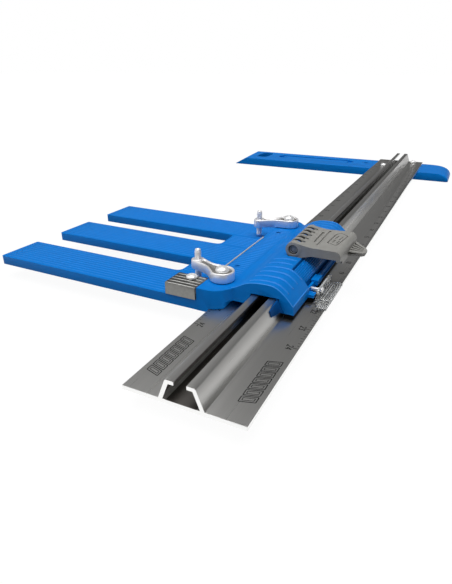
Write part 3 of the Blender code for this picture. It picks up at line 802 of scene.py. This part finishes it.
def recess_floor(name, hub, tip, body):
    """As-cast floor of the arm's recess, duller than the polished rim."""
    ring = arm_ring(hub, tip, 1.62)
    made = loft(name, [[(x, y, z) for x, y in ring] for z in (ARM_TOP - 1.3, ARM_TOP - 1.02)])
    cut(made, lathe("boss", ((4.25, 0.0), (4.25, 40.0)), (tip[0], tip[1], 0.0)))
    cut(made, lathe("pivot", ((3.2, 0.0), (3.2, 40.0)), (hub[0], hub[1], 0.0), count=32))
    soften(made, 0.0)
    return piece(made, body, "plated_casting", RECESS)


def dome_screw(name, place, low, radius, rise, body, node, socket, shank):
    """Button-head screw: a domed head with a rounded rim and a six-sided socket, and a shank of
    (radius, lowest point)."""
    profile = [shank, (shank[0], low), (radius - 0.25, low), (radius, low + 0.25), (radius, low + 0.7)]
    steps = 9
    crown = math.radians(77.4)      # where the dome ends in its flat top
    for k in range(1, steps + 1):
        turn = crown * k / steps
        profile.append((radius * math.cos(turn), low + 0.7 + (rise - 0.7) * math.sin(turn) / math.sin(crown)))
    made = lathe(name, profile, (place[0], place[1], 0.0))
    cut(made, prism_z("socket", circle(place, socket, 6), low + rise - 1.6, low + 12.0))
    soften(made, 0.12, 2, 40.0, False)
    return piece(made, body, "bright_steel", replaces=(node,))


def stud(name, place, body, node):
    """Threaded clamp screw: one helical skin, plain at its ends, with a six-sided socket in the top."""
    pitch, core, crest = 1.0, 2.12, 2.58
    low, high = 9.0, 32.5
    around = 28
    per_turn = 6
    rows = int((high - low - 1.6) / pitch * per_turn)
    levels = [[(place[0] + a, place[1] + b, low) for a, b in circle((0, 0), 1.9, around)]]
    for k in range(rows + 1):
        z = low + 0.8 + k * pitch / per_turn
        ring = []
        for i in range(around):
            turn = math.tau * i / around
            phase = (k / per_turn - i / around) % 1.0
            wave = abs(phase * 2.0 - 1.0)
            fade = min(1.0, (z - low - 0.8) / 1.0, (high - 0.8 - z) / 1.0)
            radius = core + (crest - core) * wave * max(fade, 0.0)
            ring.append((place[0] + radius * math.cos(turn), place[1] + radius * math.sin(turn), z))
        levels.append(ring)
    levels.append([(place[0] + a, place[1] + b, high) for a, b in circle((0, 0), 2.05, around)])
    made = loft(name, levels)
    cut(made, prism_z("socket", circle(place, 1.35, 6), high - 2.6, high + 5.0))
    soften(made, 0.0)
    return piece(made, body, "bright_steel", LOOKS["plated_casting"], replaces=(node,))


# ---------------------------------------------------------------- lever


def lever_shell():
    """The lever's grip: a waisted plate, cut on a slant at the back and hollow underneath."""
    x = LEVER_AXIS[0]
    bottom = 26.2
    corners = ((x, bottom - 2.6), (6.4, bottom - 2.3), (13.8, bottom), (32.8, bottom + 0.1), (33.0, bottom - 1.3),
               (LEVER_RIGHT, bottom - 1.3), (LEVER_RIGHT, LEVER_TOP - 0.2), (12.0, LEVER_TOP), (x + 2.4, 34.8))
    radii = (0.0, 3.0, 4.0, 0.0, 0.0, 0.6, 4.6, 30.0, 0.0)
    made = prism_y("cam_lever_grip", rounded(corners, radii, 10), LEVER_FRONT + 0.3, LEVER_BACK + 3.6)
    skew = ((-9.0, LEVER_BACK - 0.6), (6.0, LEVER_BACK - 0.6), (37.0, LEVER_BACK + 3.6), (37.0, 230.0), (-9.0, 230.0))
    cut(made, prism_z("skew", skew, 0.0, 60.0))
    for low, high in ((LEVER_FRONT + 2.6, 190.0), (191.8, LEVER_BACK - 2.4)):
        cut(made, block("hollow", (15.4, 33.4), (low, high), (20.0, LEVER_TOP - 2.4)))
    return made


def tab_levels():
    """Levels of the thumb tab beyond the grip's right side."""
    plan = rounded(((34.4, 193.4), (47.0, 193.4), (48.6, 196.0), (48.6, 202.6), (47.0, 206.4), (36.6, 219.2),
                    (34.4, 219.2)), (0.0, 1.5, 2.5, 2.5, 2.5, 0.5, 0.0), 6)
    levels = []
    for inset, z in ((1.8, 21.8), (0.7, 22.3), (0.15, 23.2), (0.0, 24.4), (0.15, 25.1), (0.5, 25.4)):
        ring = []
        for a, b in plan:
            toward = Vector((38.0, 204.0)) - Vector((a, b))
            shift = toward.normalized() * inset if a > 36.0 else Vector((0.0, 0.0))
            ring.append((a + shift.x, b + shift.y, z))
        levels.append(ring)
    return levels


def detailed_lever():
    """The whole lever: slotted barrel, hollow grip with its grooves and mark, foot, cam and ribbed tab."""
    x, z = LEVER_AXIS
    made = lathe("cam_lever_grip", ((BARREL_RADIUS - 0.5, LEVER_FRONT), (BARREL_RADIUS - 0.1, LEVER_FRONT + 0.15),
                                    (BARREL_RADIUS, LEVER_FRONT + 0.6), (BARREL_RADIUS, LEVER_BACK - 0.5),
                                    (BARREL_RADIUS - 0.5, LEVER_BACK)), (x, 0.0, z), "Y", 72)
    side = ((170.4, 29.0), (171.2, 25.6), (176.2, 20.8), (216.6, 20.8), (216.6, 29.0))
    foot = loft("foot", [[(a, b, c) for b, c in side] for a in (LEVER_RIGHT - 2.2, LEVER_RIGHT - 0.2)])
    cam = prism_y("cam", ((6.5, 26.4), (7.4, 23.6), (10.6, 23.6), (12.4, 26.6)), 180.0, 205.0)
    join(made, lever_shell(), foot, cam, loft("tab", tab_levels()))
    for center in SLOTS:
        half = SLOT_WIDTH / 2
        ring = circle((x, z), BARREL_RADIUS + 0.3, 64)
        cut(made, prism_y("slot", ring, center - half, center + half))
        cut(made, block("slot_under", (-9.0, 5.4), (center - half, center + half), (20.0, z)))
        tail = rounded(((x, center - half + 0.4), (6.3, center - half + 0.7), (6.3, center + half - 0.7),
                        (x, center + half - 0.4)), (0.0, 0.8, 0.8, 0.0), 4)
        cut(made, prism_z("slot_end", tail, z - 1.0, 40.0))
    for center in SLOTS:
        flare = lathe("flare", ((7.2, center - 3.2), (7.2, center + 3.2)), (x, 0.0, z), "Y", 64)
        cut(flare, lathe("core", ((6.5, center - 3.3), (5.7, center - 2.7), (4.3, center - 2.0), (4.3, center + 2.0),
                                  (5.7, center + 2.7), (6.5, center + 3.3)), (x, 0.0, z), "Y", 64))
        cut(flare, block("kept", (x + 4.4, 20.0), (center - 4.0, center + 4.0), (z - 9.0, z + 9.0)))
        cut(made, flare)
    for low, high, tip in ((196.2, 198.8, 196.6), (201.0, 203.8, 198.7), (206.0, 209.2, 200.8), (211.2, 214.6, 202.9)):
        groove = ((LEVER_RIGHT + 0.4, low), (46.0, tip), (46.0, tip + 0.9), (LEVER_RIGHT + 0.4, high))
        cut(made, prism_z("groove", groove, 24.1, 30.0))
    for left, wide, y in ((10.7, 1.8, (180.4, 207.0)), (14.8, 1.8, (174.6, 213.0))):
        ends = rounded(((left, y[0]), (left + wide, y[0]), (left + wide, y[1]), (left, y[1])), (0.6, 0.6, 0.6, 0.6), 4)
        cut(made, prism_z("grip_groove", ends, LEVER_TOP - 1.0, 40.0))
    for plan in emblem_rings():
        cut(made, prism_z("emblem", plan, LEVER_TOP - 0.9, 40.0))
    cut(made, prism_y("pin_hole", circle((x, z), PIN_HOLE, 32), 160.0, 230.0))
    cut(made, lathe("recess", ((3.8, LEVER_FRONT - 3.0), (3.8, LEVER_FRONT + 0.2), (3.6, LEVER_FRONT + 2.8)),
                    (x, 0.0, z), "Y", 56))
    join(made, ring_wall())
    soften(made, 0.35, 3, 32.0)
    return piece(made, "lever", "grey_plastic", replaces=("cam_lever",))


def ring_wall():
    """Inner ring that stands in the recess at the barrel's end."""
    x, z = LEVER_AXIS
    outer = lathe("ring_wall", ((2.9, LEVER_FRONT + 1.2), (2.9, LEVER_FRONT + 3.4)), (x, 0.0, z), "Y", 40)
    return cut(outer, prism_y("bore", circle((x, z), PIN_HOLE, 32), 160.0, 180.0))


def emblem_rings():
    """Plain sunk mark on the grip: a rounded frame, open at one point, round two pairs of slanted bars."""
    outer = rounded(((20.6, 183.6), (29.2, 179.4), (32.0, 206.8), (24.6, 212.6), (21.6, 206.0)),
                    (2.2, 2.6, 3.0, 3.0, 3.0), 6)
    middle = Vector((25.8, 197.0))
    width = 0.9
    inner = []
    for i, here in enumerate(outer):
        a, b = Vector(outer[i - 1]), Vector(outer[(i + 1) % len(outer)])
        tangent = (b - a).normalized()
        normal = Vector((-tangent.y, tangent.x))
        if normal.dot(middle - Vector(here)) < 0:
            normal = -normal
        inner.append(tuple(Vector(here) + normal * width))
    rings = []
    count = len(outer)
    half = count // 2
    for first, last in ((0, half - 1), (half, count)):
        part = [i % count for i in range(first, last + 1)]
        rings.append([outer[i] for i in part] + [inner[i] for i in reversed(part)])
    for low, high in ((186.4, 193.4), (196.0, 203.6)):
        rings.append(((23.6, low), (24.5, low - 0.3), (25.4, high - 0.3), (24.5, high)))
        rings.append(((27.0, low - 0.8), (27.9, low - 1.0), (28.9, high - 1.2), (28.0, high - 0.9)))
    return rings


def glide_pad():
    """Near-black pad that the bridge's right side glides on, which is also painted shade under the bridge; where it
    widens under the cursor's boss it is painted shade only.
    """
    outline = ((14.7, 108.0), (21.6, 108.0), (21.6, 138.2), (25.8, 138.2), (25.8, 144.3), (21.6, 144.3),
               (21.6, 158.0), (23.2, 158.0), (23.2, 167.6), (21.6, 167.6), (21.6, 265.8), (14.7, 265.8))
    return prism_z("glide_pad", outline, 2.8, 6.2)


# ---------------------------------------------------------------- cursor


def hairline():
    """Fine index line across the underside of the cursor's window."""
    return block("cursor_hairline", (30.8, 35.8), (158.6, 158.9), (4.22, 4.30))


def cursor_rims():
    """Ridges along the cursor's edges, coloured as painted highlights: the ear's outline, the window's frame and the
    fluted front end.
    """
    many = []

    def edge(points, up, width=0.5, height=0.22):
        path = []
        for a, b in zip(points, points[1:]):
            path += [tuple(Vector(a).lerp(Vector(b), k / 6)) for k in range(6)]
        path.append(points[-1])
        many.append(ridge(path, [up] * len(path), width, height))

    edge(((27.45, 142.6, 10.6), (27.45, 143.6, 11.0), (27.45, 175.4, 11.0), (27.45, 177.6, 9.3)), (0, 0, 1), 0.9)
    edge(((28.2, 141.3, 3.6), (28.2, 141.3, 8.7), (28.2, 143.6, 10.7), (28.2, 175.4, 10.7)), (1, 0, 0))
    for inset, z in ((0.0, 4.78), (1.5, 4.2)):
        ring = rounded(((29.9 + inset, 141.7 + inset), (36.6 - inset, 141.7 + inset), (36.6 - inset, 175.7 - inset),
                        (29.9 + inset, 175.7 - inset)), (1.8, 1.8, 1.8, 1.8), 4)
        edge([(x, y, z) for x, y in ring] + [(*ring[0], z)], (0, 0, 1), 0.4, 0.18)
    edge(((37.3, 130.6, 4.15), (37.3, 176.4, 4.15)), (0.6, 0, 1), 0.5)
    for k in range(5):
        x = 31.4 + 1.25 * k
        edge(((x, 129.4, 4.15), (x - 0.5, 137.6 - 0.5 * k, 4.15)), (0, 0, 1), 0.55, 0.45)
    return lofts("cursor_rims", many)


# ---------------------------------------------------------------- put together

camera()
studio()
floor()

slots = {row["node"]: row["material_slot"] for row in frame["record"]["subparts"]}
# CAD nodes whose look differs from their slot's
# the brake jaw's look is painted shade
SPECIAL = {"shoe_block": BLOCK, "lever_pin": PIN, "wear_strip": LIGHT_METAL_AND_HIGHLIGHT, "brake_jaw": JAW_PAINTED_SHADE}
USUAL_BEVEL = 0.2
# Rounding of the CAD nodes' edges where it isn't the usual one
BEVELS = {"rail": 0.15, "sled_body": 0.5, "edge_guide": 0.5, "shoe_block": 0.35, "brake_jaw": 0.3, "wear_strip": 0.15,
          "cursor": 0.3}
for name in sorted(nodes):
    soften(nodes[name], BEVELS.get(name, USUAL_BEVEL), 3 if name in ("sled_body", "edge_guide") else 2)
    finish_with(nodes[name], SPECIAL.get(name) or LOOKS[slots[name]])

for made in (scale_ticks(), scale_numerals(), flange_pattern()):
    made.data.shade_flat()
    piece(made, "rail", "anodised_aluminium", PRINT)
piece(soften(hump_ribs(), 0.0, flatten=False), "sled", "blue_plastic", RIB_PAINTED_HIGHLIGHT)
piece(soften(hump_edges(), 0.0, flatten=False), "sled", "blue_plastic", RIM_PAINTED_HIGHLIGHT)
piece(soften(top_lines(), 0.0, flatten=False), "sled", "blue_plastic", RIB_PAINTED_HIGHLIGHT)
piece(soften(cover_ribs(), 0.0, flatten=False), "jaw", "blue_plastic")
piece(soften(glide_pad(), 0.25), "sled", "slide_plastic", replaces=("glide_foot_right",))
piece(soften(cursor_rims(), 0.0, flatten=False), "cursor", "clear_plastic", CURSOR_PAINTED_GLINT)
piece(soften(block_ribs(), 0.0, flatten=False), "sled", "anodised_aluminium", LIGHT_METAL_AND_HIGHLIGHT)
piece(soften(guide_bar(), 0.0, flatten=False), "rail", "blue_plastic")
for end, hub, tip in zip(("front", "rear"), PIVOTS, STUDS):
    clamp_arm(end + "_arm_casting", hub, tip, end + "_arm", end + "_clamp_arm")
    recess_floor(end + "_arm_recess", hub, tip, end + "_arm")
    dome_screw(end + "_pivot_screw", hub, ARM_TOP - 0.9, 5.0, 3.8, "sled", end + "_pivot_bolt", 1.6, (2.8, 4.0))
    stud(end + "_threaded_stud", tip, end + "_screw", end + "_clamp_screw")
dome_screw("block_screw", (-57.5, 110.5), 17.1, 4.3, 2.9, "sled", "shoe_block_screw", 1.4, (1.8, 0.8))
for side, place in zip(("left", "right"), ((-21.4, 700.5), (21.5, 749.5))):
    dome_screw("guide_screw_" + side, place, 2.8, 4.6, 3.6, "rail", "fence_screw_" + side, 1.5, (2.7, -8.6))
detailed_lever()
piece(hairline(), "cursor", "clear_plastic", PRINT)
